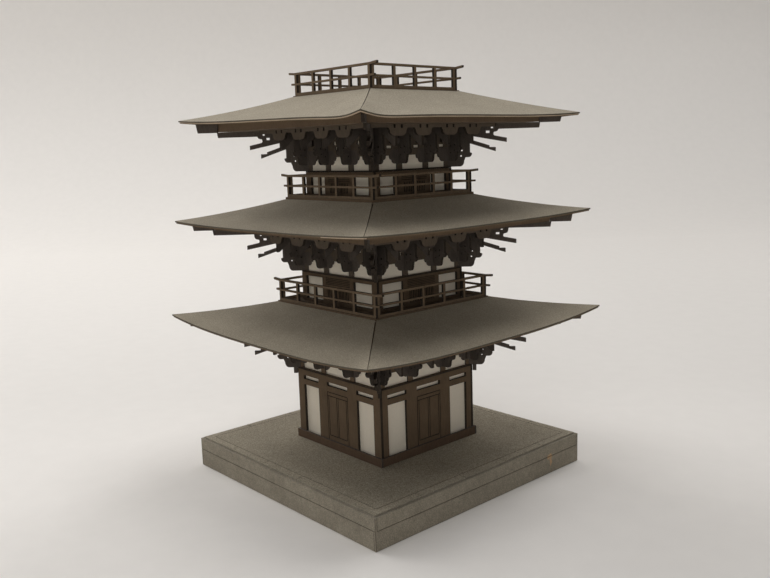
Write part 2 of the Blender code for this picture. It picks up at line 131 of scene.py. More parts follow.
SECOND_ARM_ROOT = 5.1
ARM_BEARING = (6.7, 4.8)
LOWER_TAIL_RAFTER = [(6.7, 7.8), (15.7, 4.8), (15.7, 6.3), (13.5, 6.35), (13.5, 6.95), (7.4, 8.97)]
FIN_FOOT = 1.45
FIN_FOOT_HEIGHT = 1.8
HIP_RAFTER_DROP = 1.9
HIP_RAFTER_STEP = 0.3
HIP_RAFTER_NOSE = 0.6
HIP_BOARD_FALL = 0.5
STRAIGHT_REACH = 1 / ROOT2  # a straight fin's arms reach this share of a corner fin's
STRAIGHT_FIN_ROOT = 0.85
STRAIGHT_FIN_END = 10.75
TAIL_FOOT = 9.9
TAIL_TOP = (10.6, 11.7, 11.7)
TAIL_FALL = 4.0
END_FIN = 0.9
ROOF_CARD = 0.45
UNDERLAY = 0.5
SOFFIT_BOARD = 0.5
LAYER_GAP = 0.15
UNDERLAY_INSET = 0.35
OUTER_BOARD_INSET = 4.4
INNER_BOARD_INSET = 10.0
ROOF_START = 0.7  # from the railing's face out to the edge of the roof card
ROOF_INNER = [half + ROOF_START for half in RAIL_HALF]
RAIL_CARD = 0.9
POST = 1.0
BOTTOM_RAIL = 0.9
MIDDLE_RAIL = (3.55, 4.2)
MIDDLE_RAIL_REACH = 2.0
MIDDLE_RAIL_RISE = 0.1
TOP_RAIL = 0.75
TOP_RAIL_REACH = 3.3
TOP_RAIL_RISE = 0.33

# The base as the looks have it: strips of card on a core, with dark joints and a scored border
SKIN = 0.6
SKIN_GAP = 0.04
JOINT = 0.22
JOINT_DEPTH = 0.05
BORDER = 46.0
BORDER_SCORE = 0.2
BORDER_DEPTH = 0.12
BORDER_JOINTS = (-30, -10, 10, 30)
GROOVE_STOP = 0.02  # a groove ends this far inside the plate's edge

# Between the end of a sheet and the sheet that it meets at a corner
BUTT_GAP = 0.03

# Scored lines and the doors that they draw
SCORE = 0.3
SCORE_DEPTH = 0.3
HIDDEN_EDGE = 0.8  # how far the ground windows and the door's jambs go down behind the sill
DOOR_JAMB = 5.6
DOOR_LEAF = 4.85
DOOR_TOP = 31.55
DOOR_HEAD = 30.2
DOOR_FOOT = 15.6
DOOR_GAP_HALF = 0.4
UPPER_DOOR_HALF = (6.6, 5.9)
UPPER_DOOR_HEAD = (69.8, 105.7)
UPPER_DOOR_RAIL = 0.4  # plain card above and below the head
PANEL_SCORE = 0.22
PANEL_STEP = 0.55
PANEL_SCORES = 5
SLIT_FOOT = 0.5
SLIT_MARGIN = 0.6
FIRST_SLIT = 0.7
SLIT_STEP = 0.8
SLIT_HALF = 0.2

# Brackets as the looks have them. The crowns and the openings in the tie sit left of the brackets' middles.
# Painted shade: a shallow groove of dark card over each bracket's arms on the wall plate, where shade falls
# behind the fins.
ARM_SHADE = [(-4.8, ARM_BOTTOM), (4.8, ARM_BOTTOM), (4.8, 4.6), (3.3, 6.8), (-3.3, 6.8), (-4.8, 4.6)]
ARM_SHADE_DEPTH = 0.04
CROWN = [(-2.2, 8.4), (2.2, 8.4), (2.7, 8.8), (2.7, 10.3), (-2.7, 10.3), (-2.7, 8.8)]
CROWN_OUT = 0.55
CROWN_THICKNESS = 1.0
CROWN_SHIFT = -1.85
CORNER_CROWN_INSET = 2.3
# Small openings in the tie of each storey: shift from the middle, lower and upper edge, half width
BRACKET_OPENINGS = ((), ((-2.6, 7.1, 8.1, 1.1),), ())
BAY_OPENINGS = ((), (), ((-1.2, 7.1, 7.9, 0.5), (1.7, 7.0, 7.8, 1.2)))
PURLIN_SLOT = rectangle(-0.4, PURLIN_BOTTOM - 0.1, 0.4, PURLIN_BOTTOM + 1.0)
PURLIN_SLOT_SHIFTS = (-1.55, 1.55)
# Holes in a corner fin's arms: two near the wall and two between the arms
ARM_HOLES = ((0.75, 2.6, 1.25, 3.1), (0.75, 5.0, 1.25, 5.5), (3.3, 3.4, 3.8, 3.9), (3.3, 5.3, 4.1, 5.8))
# A corner fin's upper tail rafter and its head, which is a hook with two small gaps behind it
UPPER_TAIL_RAFTER = [(7.4, 10.3), (19.55, 7.9), (19.55, 9.4), (15.2, 10.3)]
FIN_HEAD = [(14.9, 10.75), (15.05, 11.5), (15.7, 11.6), (16.3, 11.8), (16.65, 12.4)]
FIN_HEAD_END = 16.8
FIN_GAPS = (rectangle(14.05, 12.8, 14.85, 13.6), rectangle(12.3, 11.2, 13.6, 12.0))

# Roofs as the looks have them. Half of the open seam on each hip:
SEAM_AT_EAVE = 0.1
SEAM_AT_TOP = (0.34, 0.3, 0.24)
LINING_GAP = 0.3 * LAYER_GAP
# The light line on the lining's edge: how high it is, and where it starts along the second roof's front
TAN_THICKNESS = 0.3
TAN_FROM = 33.0
# How far each roof's corners are bent up by hand, or down where it is negative, and how that fades inwards
CORNER_CURL = ((0.3, -0.9, 0.5, 0.0), (-0.2, 0.15, 0.4, 0.0), (1.0, -0.3, -0.6, 0.0))
CURL_POWER = 1.5
# The eave of one storey dips beside its near corner: storey index, depth, how far from the corner, steepness
CORNER_DIP = (2, 0.95, 9.0, 1.6)

# How finely the meshes are divided
ARC_STEPS = 5
ROOF_COLUMNS = 48
ROOF_ROWS = 16
LINING_ROWS = 10
BOARD_ROWS = 8
LOFT_STATIONS = 32
# The triangulation of a sheet keeps what is inside its loops, and merges points that are closer than this
INSIDE_ONLY = 1
CLOSEST_POINTS = 1e-5

# Colours
ROOF_GREY = (0.335, 0.29, 0.218)
BASE_GREY = (0.345, 0.302, 0.228)
BASE_SIDE = (0.286, 0.252, 0.194)
BASE_EDGE = (0.115, 0.097, 0.07)
GREY_EDGE = (0.1, 0.085, 0.062)
BROWN = (0.14, 0.096, 0.058)
# The brackets' card is charred, smoke-stained card, made darker still as painted shade of the deep bracket
# zone. It also darkens the sill's cut edges and the arms' painted shade.
DARK = (0.094, 0.077, 0.063)
# Painted shade: the brown card made darker for the purlins and the upper storeys' wall plates, which lie in
# the shade of the eaves.
SHADED_BROWN = (0.104, 0.08, 0.057)
SILL = (0.125, 0.08, 0.05)
# The rails' card is the brown card made lighter: painted light on the open balconies and on the lining's
# edge.
RAIL_PAINTED_LIGHT = (0.17, 0.12, 0.075)
WHITE = (0.9, 0.82, 0.68)
TAN = (0.6, 0.48, 0.35)
CUT_EDGE = (0.035, 0.026, 0.018)
PALE_WEAR = (0.5, 0.46, 0.38)
GLUE = (0.55, 0.34, 0.18)
PAPER = (0.775, 0.743, 0.705)
ROOM = (0.6, 0.575, 0.54)

# Card: sizes of its mottling, blotches and flecks, and the limits between which a noise value becomes a fleck
MOTTLE_SIZE = 9
BLOTCH_SIZE = 1.6
FLECK_SIZE = 0.45
FLECK_LIMITS = (0.66, 0.74)
FIBRE_STRETCH = (2.6, 2.6, 0.35)
ROUGHNESS_SPREAD = 0.05
RELIEF = 0.03
SPECULAR = 0.3

# Wear on the base: where it starts and where it is full, in from the edge and down from the top
WEAR_IN = (0.5, 0.15)
WEAR_DOWN = (0.6, 0.3)
WEAR_SPECK_SIZE = 0.5
WEAR_SPECK_LIMITS = (0.62, 0.72)
WEAR_SPECKS = 0.7
WEAR_ALL_OVER = 0.12
# Spots of old glue: centre, half sizes and strength
GLUE_SPOTS = (((BASE_HALF, 33.3, 6.2), (2.0, 1.6, 1.1), 0.9), ((BASE_HALF, 33.7, 4.2), (2.0, 0.7, 1.8), 0.8))
GLUE_RAGGED_SIZE = 0.8
GLUE_RAGGED = 0.4
GLUE_FADE = (0.6, 1.0)

# Studio, in metres, with directions that point level away from the camera and to its right
TURN = math.radians(CAMERA_TURN)
AHEAD = Vector((-math.sin(TURN), math.cos(TURN), 0))
ASIDE = Vector((math.cos(TURN), math.sin(TURN), 0))
PAPER_START = -2.2
PAPER_MIDDLE = -0.5
PAPER_BEND_START = 0.7
PAPER_BEND = 0.35
PAPER_BEND_STEPS = 16
PAPER_TOP = 2.4
PAPER_HALF = 3
PAPER_DROP = 0.0001  # so that it doesn't touch the model's underside
# Painted light on the floor: its brightness at two distances, and those distances
BRIGHT_AHEAD = (1.22, 1.0, -0.2, 0.1)
BRIGHT_ASIDE = (1.04, 0.91, -0.2, 0.2)
BRIGHT_HEIGHT = 0.25
LIGHT_DISTANCE = 1.6
LIGHT_AIM = (0, 0, 0.07)
# Azimuth, elevation, size and power of each soft light
LIGHTS = (
    (180, 40, 1.0, 12.7),
    (90, 40, 1.0, 4.7),
    (315, 15, 1.0, 4.0),
    (292, 65, 1.0, 2.2),
    (210, 27, 0.5, 2.9),
    (300, 27, 0.5, 1.6),
    (105, 52, 0.5, 2.5),
    (60, 75, 0.5, 5.0),
    (240, 75, 0.5, 2.7),
)


# Flat shapes

def square(half):
    return rectangle(-half, -half, half, half)


def quarter(start, end, steps=ARC_STEPS):
    """Points on a quarter ellipse that leaves its start level and reaches its end upright."""
    (x0, y0), (x1, y1) = start, end
    turns = [math.pi / 2 * i / steps for i in range(1, steps)]
    return [(x0 + (x1 - x0) * math.sin(a), y0 + (y1 - y0) * (1 - math.cos(a))) for a in turns]


def lobe(ends):
    return [ends[0], *quarter(*ends), ends[1]]


def mirrored(points):
    return [(-x, y) for x, y in reversed(points)]


def shifted(points, x=0.0, y=0.0):
    return [(a + x, b + y) for a, b in points]


def quarter_turned(points, turns):
    """The points turned about the middle by a number of right angles."""
    angle = math.pi / 2 * turns
    c, s = round(math.cos(angle)), round(math.sin(angle))
    return [(c * x - s * y, s * x + c * y) for x, y in points]


def upright_score(x, y0, y1):
    return rectangle(x - SCORE / 2, y0, x + SCORE / 2, y1), SCORE_DEPTH


def level_score(x0, x1, y, width=SCORE):
    return rectangle(x0, y - width / 2, x1, y + width / 2), SCORE_DEPTH


def wavy(loop, step=6.0, size=0.04):
    """The loop with more points on its long edges, each a little off the line, as a hand leaves them."""
    made = []
    for (x0, y0), (x1, y1) in zip(loop, loop[1:] + loop[:1]):
        length = math.hypot(x1 - x0, y1 - y0)
        count = max(1, round(length / step))
        made.append((x0, y0))
        for i in range(1, count):
            off = RANDOM.uniform(-size, 0)
            nx, ny = (y1 - y0) / length, (x0 - x1) / length
            made.append((x0 + (x1 - x0) * i / count + nx * off, y0 + (y1 - y0) * i / count + ny * off))
    return made


# Places of flat sheets

def flat_place(height):
    return Matrix.Translation((0, 0, height * MM))


def face_place(side, distance):
    """A sheet parallel to one side: its x runs along the side, its y up and its z outwards."""
    turn = Matrix.Rotation(math.pi / 2 * side, 4, "Z")
    stand = Matrix.Rotation(math.pi / 2, 4, "X")
    return turn @ Matrix.Translation((0, -distance * MM, 0)) @ stand


def fin_place(angle, along):
    """A sheet standing out from the axis: its x runs outwards and its y up."""
    turn = Matrix.Rotation(angle - math.pi / 2, 4, "Z")
    stand = Matrix.Rotation(math.pi / 2, 4, "X")
    return turn @ Matrix.Translation((0, -along * MM, 0)) @ stand


def nudged(place, about, turn=0.4, shift=0.05):
    """The place turned a little about one of its points, as a glued piece ends up."""
    x, y = about
    centre = Matrix.Translation((x * MM, y * MM, 0))
    swing = Matrix.Rotation(math.radians(RANDOM.uniform(-turn, turn)), 4, "Y")
    lean = Matrix.Rotation(math.radians(RANDOM.uniform(-turn, turn)), 4, "X")
    slide = Matrix.Translation([RANDOM.uniform(-shift, shift) * MM for _ in range(3)])
    return place @ slide @ centre @ swing @ lean @ centre.inverted()


# Pieces

def new_object(name, data):
    obj = bpy.data.objects.new(name, data)
    bpy.context.scene.collection.objects.link(obj)
    return obj


def add_piece(name, points, faces, kinds, materials, nodes, smooth_angle=None):
    """A mesh that rides on the body and stands for CAD nodes. Its points are in metres."""
    mesh = bpy.data.meshes.new(name)
    mesh.from_pydata([tuple(p) for p in points], [], faces)
    for material in materials:
        mesh.materials.append(material)
    mesh.polygons.foreach_set("material_index", kinds)
    if smooth_angle is not None:
        mesh.polygons.foreach_set("use_smooth", [True] * len(faces))
        mesh.set_sharp_from_angle(angle=math.radians(smooth_angle))
    mesh.update()
    obj = new_object(name, mesh)
    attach(obj, "root")
    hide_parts(*nodes)
    return obj


def within(points, loop):
    """Which of these points lie inside a closed loop."""
    x, y = points[:, :1], points[:, 1:]
    a = np.array(loop, float)
    b = np.roll(a, -1, 0)
    crosses = (a[:, 1] > y) != (b[:, 1] > y)
    rise = np.where(b[:, 1] == a[:, 1], 1.0, b[:, 1] - a[:, 1])
    at = a[:, 0] + (y - a[:, 1]) * (b[:, 0] - a[:, 0]) / rise
    return (crosses & (x < at)).sum(1) % 2 == 1


def cut_sheet(outline, holes, grooves, thickness):
    """Points, faces and kinds of a flat sheet with holes through it and grooves in its upper face.

    Kind 0 is the card's own face, kind 1 a groove and kind 2 a cut edge.
    """
    points, edges = [], []
    for loop in [outline, *holes, *(loop for loop, depth in grooves)]:
        first, count = len(points), len(loop)
        points += [Vector(point) for point in loop]
        edges += [(first + i, first + (i + 1) % count) for i in range(count)]
    flat, _, triangles = delaunay_2d_cdt(points, edges, [], INSIDE_ONLY, CLOSEST_POINTS)[:3]
    flat = np.array([tuple(p) for p in flat])
    triangles = np.array([tuple(t) for t in triangles])
    middle = flat[triangles].mean(1)
    card = within(middle, outline)
    for hole in holes:
        card &= ~within(middle, hole)
    depth = np.zeros(len(triangles))
    for loop, deep in grooves:
        depth[within(middle, loop)] = deep
    return stack_sheet(flat, triangles[card], depth[card], thickness)


def stack_sheet(flat, triangles, depth, thickness):
    """The upper face at its depths, the lower face, and walls where the depth changes or the card ends."""
    owner, depths = {}, {}
    for number, (triangle, deep) in enumerate(zip(triangles.tolist(), depth.tolist())):
        for a, b in zip(triangle, triangle[1:] + triangle[:1]):
            owner[a, b] = number
            depths.setdefault(a, set()).add(deep)
    points, index, faces, kinds = [], {}, [], []

    def at(corner, deep):
        if (corner, deep) not in index:
            index[corner, deep] = len(points)
            points.append((flat[corner][0], flat[corner][1], thickness / 2 - deep))
        return index[corner, deep]

    def between(corner, high, low):
        return [at(corner, deep) for deep in sorted(depths[corner]) if high < deep < low]

    for number, (triangle, deep) in enumerate(zip(triangles.tolist(), depth.tolist())):
        faces.append([at(corner, deep) for corner in triangle])
        kinds.append(1 if deep else 0)
        faces.append([at(corner, thickness) for corner in reversed(triangle)])
        kinds.append(0)
        for a, b in zip(triangle, triangle[1:] + triangle[:1]):
            other = owner.get((b, a))
            low = thickness if other is None else depth[other]
            if low > deep:
                wall = [at(b, deep), at(a, deep), *between(a, deep, low), at(a, low)]
                faces.append(wall + [at(b, low), *between(b, deep, low)[::-1]])
                kinds.append(2 if other is None else 1)
    return points, faces, kinds


def add_sheet(name, outline, thickness, place, materials, nodes, slot, holes=(), grooves=()):
    """A flat sheet in its place. Where it has two materials, its cut edges share that of its grooves."""
    points, faces, kinds = cut_sheet(outline, holes, grooves, thickness)
    points = [place @ (Vector(point) * MM) for point in points]
    kinds = [min(kind, len(materials) - 1) for kind in kinds]
    return add_piece(name, points, faces, kinds, materials, nodes)


# Roof surfaces

def side_turn(side):
    return Matrix.Rotation(math.pi / 2 * side, 3, "Z")


def across_at(share):
    """Points bunch up towards the hips, where the roof curves most."""
    return math.sin((share - 0.5) * math.pi)


def dip(level, half, side, across):
    """How far the eave hangs beside the near corner, where one card was bent up sharply."""
    storey, depth, reach, steep = CORNER_DIP
    if level != storey or side > 1:
        return 0.0
    away = (1 - across if side == 0 else 1 + across) * half / reach
    return depth * away ** steep * math.exp(steep * (1 - away))


def curl(level, half, side, across):
    """How far the hand-bent roof is off the even shape, from its two corners and the dip beside one."""
    inner = ROOF_INNER[level]
    fade = max(0.0, (half - inner) / (EAVE_HALF[level] - inner)) ** CURL_POWER
    first, second = CORNER_CURL[level][side % 4], CORNER_CURL[level][(side + 1) % 4]
    return fade * (first + (second - first) * (1 + across) / 2 - dip(level, half, side % 4, across))


def hip_height(level, half):
    inset = EAVE_HALF[level] - half
    return TIP[level] + HIP_SLOPE[level] * inset + HIP_CURVE[level] * inset * inset


def roof_height(level, half, side, across):
    """Height of the roof's upper face, with across going from -1 to 1 between two hips."""
    span = EAVE_HALF[level] - RAIL_HALF[level]
    lift = TIP_LIFT[level] * (half - RAIL_HALF[level]) / span
    height = hip_height(level, half) - lift * (1 - abs(across) ** EAVE_CURVE_POWER)
    return height + curl(level, half, side, across)


def rows_between(outer, inner, count):
    return [outer + (inner - outer) * i / count for i in range(count + 1)]


def seam(level, half):
    """Half of the gap between two roof sheets, which opens towards the top."""
    share = (EAVE_HALF[level] - half) / (EAVE_HALF[level] - RAIL_HALF[level])
    return SEAM_AT_EAVE + (SEAM_AT_TOP[level] - SEAM_AT_EAVE) * share


def slab_faces(rows, columns):
    """Faces of a grid of points above a like grid, with the walls round them as kind 1."""
    wide = columns + 1
    lower = wide * (rows + 1)
    faces, kinds = [], []
    for r in range(rows):
        for c in range(columns):
            a = r * wide + c
            quad = [a, a + 1, a + wide + 1, a + wide]
            faces.append(quad)
            faces.append([lower + i for i in reversed(quad)])
            kinds += [0, 0]
    rim = list(range(wide)) + [r * wide + columns for r in range(1, rows + 1)]
    rim += [rows * wide + c for c in range(columns - 1, -1, -1)]
    rim += [r * wide for r in range(rows - 1, 0, -1)]
    for a, b in zip(rim, rim[1:] + rim[:1]):
        faces.append([b, a, a + lower, b + lower])
        kinds.append(1)
    return faces, kinds


def add_loft(name, section, kinds, level, materials, nodes):
    """A ring that follows the eave's curve.

    Its section lists (half side, drop below the roof, height), where a height of None follows the roof.
    """
    points, faces, face_kinds = [], [], []
    for side in range(4):
        turn = side_turn(side)
        for station in range(LOFT_STATIONS):
            across = across_at(station / LOFT_STATIONS)
            for half, drop, height in section:
                z = roof_height(level, half, side, across) - drop if height is None else height
                points.append(turn @ Vector((across * half, -half, z)) * MM)
    size, total = len(section), len(points)
    for start in range(0, total, size):
        for i in range(size):
            j = (i + 1) % size
            after = (start + size) % total
            faces.append([start + j, after + j, after + i, start + i])
            face_kinds.append(kinds[i])
    return add_piece(name, points, faces, face_kinds, materials, nodes, smooth_angle=30)


# Shader nodes

def node(tree, kind, inputs=(), **settings):
    made = tree.nodes.new("ShaderNode" + kind)
    for key, value in settings.items():
        setattr(made, key, value)
    for key, value in dict(inputs).items():
        if isinstance(value, bpy.types.NodeSocket):
            tree.links.new(value, made.inputs[key])
        else:
            made.inputs[key].default_value = value
    return made


def noise(tree, place, size, detail=2.0, roughness=0.5, stretch=None):
    """A noise value about 0.5, with features of this size in millimetres."""
    if stretch:
        place = node(tree, "Mapping", {"Vector": place, "Scale": stretch}).outputs[0]
    settings = {"Vector": place, "Scale": 1 / size / MM, "Detail": detail, "Roughness": roughness}
    return node(tree, "TexNoise", settings, noise_dimensions="3D").outputs[0]


def spread(tree, value, low, high, start=0.3, end=0.7):
    """The value between start and end turned into low to high."""
    inputs = {"Value": value, "From Min": start, "From Max": end, "To Min": low, "To Max": high}
    return node(tree, "MapRange", inputs).outputs[0]


def times(tree, a, b):
    return node(tree, "Math", {0: a, 1: b}, operation="MULTIPLY").outputs[0]


def plus(tree, a, b):
    return node(tree, "Math", {0: a, 1: b}, operation="ADD").outputs[0]


def scaled(tree, colour, factor):
    return node(tree, "VectorMath", {0: colour, "Scale": factor}, operation="SCALE").outputs[0]


def along(tree, place, direction):
    """How far a place lies in a direction."""
    return node(tree, "VectorMath", {0: place, 1: direction}, operation="DOT_PRODUCT").outputs["Value"]


def blend(tree, amount, first, second):
    mixed = node(tree, "Mix", {"Factor": amount, "A": first, "B": second}, data_type="VECTOR")
    return mixed.outputs["Result"]


# Materials

def card_material(name, colour, grain=0.12, mottle=0.06, fibre=0.0, fleck=0.0, rough=0.9, bump=0.25,
                  grain_size=0.3, blotch=0.0, extra=None):
    """Card in object space: fine grain, slow mottling, blotches, short fibres and pale flecks."""
    made = bpy.data.materials.new(name)
    made.use_nodes = True
    tree = made.node_tree
    shader = tree.nodes["Principled BSDF"]
    place = node(tree, "TexCoord").outputs["Object"]
    fine = noise(tree, place, grain_size, 3.0, 0.6)
    slow = noise(tree, place, MOTTLE_SIZE, 3.0)
    factor = times(tree, spread(tree, fine, 1 - grain, 1 + grain), spread(tree, slow, 1 - mottle, 1 + mottle))
    if blotch:
        patches = noise(tree, place, BLOTCH_SIZE, 2.0, 0.6)
        factor = times(tree, factor, spread(tree, patches, 1 - blotch, 1 + blotch))
    if fibre:
        fibres = noise(tree, place, 1.0, stretch=FIBRE_STRETCH)
        factor = times(tree, factor, spread(tree, fibres, 1 - fibre, 1 + fibre))
    if fleck:
        dots = noise(tree, place, FLECK_SIZE, 1.0)
        factor = plus(tree, factor, spread(tree, dots, 0, fleck, *FLECK_LIMITS))
    shade = scaled(tree, colour, factor)
    if extra:
        shade = extra(tree, place, shade)
    tree.links.new(shade, shader.inputs["Base Color"])
    roughness = spread(tree, fine, rough - ROUGHNESS_SPREAD, rough + ROUGHNESS_SPREAD)
    tree.links.new(roughness, shader.inputs["Roughness"])
    relief = node(tree, "Bump", {"Strength": bump, "Distance": RELIEF * MM, "Height": fine})
    tree.links.new(relief.outputs[0], shader.inputs["Normal"])
    shader.inputs["Specular IOR Level"].default_value = SPECULAR
    return made


def worn_edge(tree, place, shade):
    """Wear with light specks along the upper edge of the front and the right side."""
    x, y, z = node(tree, "SeparateXYZ", {0: place}).outputs
    out = node(tree, "Math", {0: x, 1: times(tree, y, -1.0)}, operation="MAXIMUM").outputs[0]
    rim = spread(tree, out, 0, 1, *[(PLATE_HALF - inset) * MM for inset in WEAR_IN])
    high = spread(tree, z, 0, 1, *[(PLATE_TOP - depth) * MM for depth in WEAR_DOWN])
    specks = spread(tree, noise(tree, place, WEAR_SPECK_SIZE, 1.0), 0, 1, *WEAR_SPECK_LIMITS)
    wear = plus(tree, times(tree, specks, WEAR_SPECKS), WEAR_ALL_OVER)
    return blend(tree, times(tree, times(tree, rim, high), wear), shade, PALE_WEAR)


def glued(tree, place, shade):
    """A ragged spot of old glue that ran down the right side."""
    for centre, size, strength in GLUE_SPOTS:
        away = node(tree, "VectorMath", {0: place, 1: Vector(centre) * MM}, operation="SUBTRACT").outputs[0]
        scale = [1 / (length * MM) for length in size]
        away = node(tree, "VectorMath", {0: away, 1: scale}, operation="MULTIPLY").outputs[0]
        reach = node(tree, "VectorMath", {0: away}, operation="LENGTH").outputs["Value"]
        ragged = noise(tree, place, GLUE_RAGGED_SIZE, 2.0, 0.6)
        reach = plus(tree, reach, spread(tree, ragged, -GLUE_RAGGED, GLUE_RAGGED))
        shade = blend(tree, spread(tree, reach, strength, 0, *GLUE_FADE), shade, GLUE)
    return shade


def worn_base(tree, place, shade):
    return glued(tree, place, worn_edge(tree, place, shade))


def lit_paper(tree, place, shade):
    """Painted light: the floor is a little brighter in front of the model and to its left."""
    ahead = spread(tree, along(tree, place, AHEAD), *BRIGHT_AHEAD)
    bright = times(tree, ahead, spread(tree, along(tree, place, ASIDE), *BRIGHT_ASIDE))
    high = node(tree, "SeparateXYZ", {0: place}).outputs[2]
    floor = spread(tree, high, 1.0, 0.0, 0.0, BRIGHT_HEIGHT)
    factor = plus(tree, times(tree, plus(tree, bright, -1.0), floor), 1.0)
    return scaled(tree, shade, factor)


MATERIALS = {
    "base": card_material("base_card", BASE_GREY, grain=0.5, mottle=0.04, fleck=0.22, grain_size=0.36),
    "base_side": card_material("base_card_side", BASE_SIDE, grain=0.28, mottle=0.1, fleck=0.12,
                               grain_size=0.4, blotch=0.11, extra=worn_base),
    "base_edge": card_material("base_card_edge", BASE_EDGE, grain=0.25, mottle=0.15),
    "grey_edge": card_material("grey_card_edge", GREY_EDGE, grain=0.25, mottle=0.15),
    "brown": card_material("brown_card", BROWN, grain=0.14, mottle=0.08, fibre=0.1),
    "brown_edge": card_material("brown_card_edge", CUT_EDGE, grain=0.3, mottle=0.2),
    # Partly real charred card and partly painted shade.
    "dark": card_material("bracket_card_and_shade", DARK, grain=0.18, mottle=0.12, fibre=0.1),
    # The purlins' card is painted shade: a darker copy of the brown card.
    "purlin": card_material("shaded_brown_card", SHADED_BROWN, grain=0.16, mottle=0.1, fibre=0.1),
    "sill": card_material("sill_card", SILL, grain=0.14, mottle=0.08, fibre=0.1),
    "white": card_material("white_card", WHITE, grain=0.03, mottle=0.02, rough=0.8, bump=0.15),
    "tan": card_material("tan_card", TAN, grain=0.1, mottle=0.1),
    # Lighter than the brown card as painted light.
    "rail": card_material("rail_card_painted_light", RAIL_PAINTED_LIGHT, grain=0.18, mottle=0.1, fibre=0.1),
    "roof": card_material("roof_card", ROOF_GREY, grain=0.36, mottle=0.05, fleck=0.2, grain_size=0.32),
}


def sheet_of(*names):
    return [MATERIALS[name] for name in names]


BASE_SHEET = sheet_of("base_side", "base_edge", "base_side")
PLATE_SHEET = sheet_of("base", "base_edge", "base_side")
SILL_SHEET = sheet_of("sill", "dark")
BROWN_SHEET = sheet_of("brown", "brown_edge")
DARK_SHEET = sheet_of("dark", "brown_edge")
SHADED_BROWN_SHEET = sheet_of("purlin", "brown_edge")
RAIL_SHEET = sheet_of("rail", "brown_edge")
ROOF_SHEET = sheet_of("roof", "grey_edge")
# The lining's edge takes the rails' lighter card: painted light on the eave's front.
LINING_SHEET = sheet_of("brown", "rail", "tan")


# Base

def strip_joints(half, bottom, top):
    """Dark lines at a strip's two ends, and along its foot where it stands on another strip."""
    joints = [] if bottom == 0 else [(rectangle(-half, bottom, half, bottom + JOINT), JOINT_DEPTH)]
    ends = (-half, half - JOINT)
    return joints + [(rectangle(x, bottom, x + JOINT, top), JOINT_DEPTH) for x in ends]


def add_course(name, bottom, top, long_sides):
    """Four strips of card butted at the corners, on a core that is a little lower.

    The strips of the sides 0 and 2, or those of 1 and 3, run right to the corners: long_sides is 0 or 1.
    """
    nodes = [f"base_{name}_course"]
    for side in range(4):
        half = BASE_HALF if side % 2 == long_sides else BASE_HALF - SKIN - SKIN_GAP
        outline = wavy(rectangle(-half, bottom, half, top))
        sag = RANDOM.uniform(0, SKIN_GAP)
        place = face_place(side, BASE_HALF - SKIN / 2 - sag)
        add_sheet(f"{name}_strip_{SIDES[side]}", outline, SKIN, place, BASE_SHEET, nodes, "grey_card",
                  grooves=strip_joints(half, bottom, top))
    outline = square(BASE_HALF - SKIN - 2 * SKIN_GAP)
    place = flat_place((bottom + top) / 2)
    add_sheet(f"{name}_course_core", outline, top - bottom - 2 * FIT, place, BASE_SHEET, nodes, "grey_card",
              holes=[square(FLOOR_SHEET_HALF + FIT)])


def add_top_plate():
    """The top of the base with its scored border and the joints across it."""
    half = BORDER_SCORE / 2
    bars = [rectangle(-BORDER, -BORDER - half, BORDER, -BORDER + half)]
    bars += [rectangle(x - half, -PLATE_HALF + GROOVE_STOP, x + half, -BORDER) for x in BORDER_JOINTS]
    grooves = [(quarter_turned(bar, turns), BORDER_DEPTH) for turns in range(4) for bar in bars]
    thickness = PLATE_TOP - PLATE_BOTTOM
    place = flat_place(PLATE_TOP - thickness / 2)
    add_sheet("top_plate", wavy(square(PLATE_HALF)), thickness, place, PLATE_SHEET, ["base_top_plate"],
              "grey_card", grooves=grooves)


def add_sill():
    thickness = SILL_HALF - (WALL_HALF[0] + FIT)
    for side in range(4):
        half = SILL_HALF if side % 2 == 0 else SILL_HALF - thickness - BUTT_GAP
        outline = wavy(rectangle(-half, SILL_BOTTOM, half, SILL_TOP), size=0.03)
        place = face_place(side, SILL_HALF - thickness / 2)
        add_sheet(f"sill_{SIDES[side]}", outline, thickness, place, SILL_SHEET, ["ground_sill"], "sill_card")


# Walls

def frame_holes(level):
    inner, outer = WINDOW[level]
    bottom = SILL_TOP - HIDDEN_EDGE if level == 0 else FLOOR[level] + WINDOW_ABOVE_FLOOR
    holes = [rectangle(inner, bottom, outer, WINDOW_TOP[level])]
    if level == 0:
        holes.append(rectangle(SLOT[0], SLOT_BOTTOM, SLOT[1], SLOT_TOP))
    holes += [mirrored(hole) for hole in holes]
    if level == 0:
        holes.append(rectangle(-SLOT_CENTRE_HALF, SLOT_BOTTOM, SLOT_CENTRE_HALF, SLOT_TOP))
    return holes


def ground_door():
    """The scored lines of the double door on the first storey."""
    lines = ((DOOR_JAMB, DOOR_TOP), (DOOR_JAMB, DOOR_HEAD), (DOOR_LEAF, DOOR_FOOT))
    scores = [level_score(-half, half, height) for half, height in lines]
    scores += [upright_score(x, SILL_TOP - HIDDEN_EDGE, DOOR_TOP) for x in (-DOOR_JAMB, DOOR_JAMB)]
    edges = (-DOOR_LEAF, DOOR_LEAF, -DOOR_GAP_HALF, DOOR_GAP_HALF)
    return scores + [upright_score(x, DOOR_FOOT, DOOR_HEAD) for x in edges]


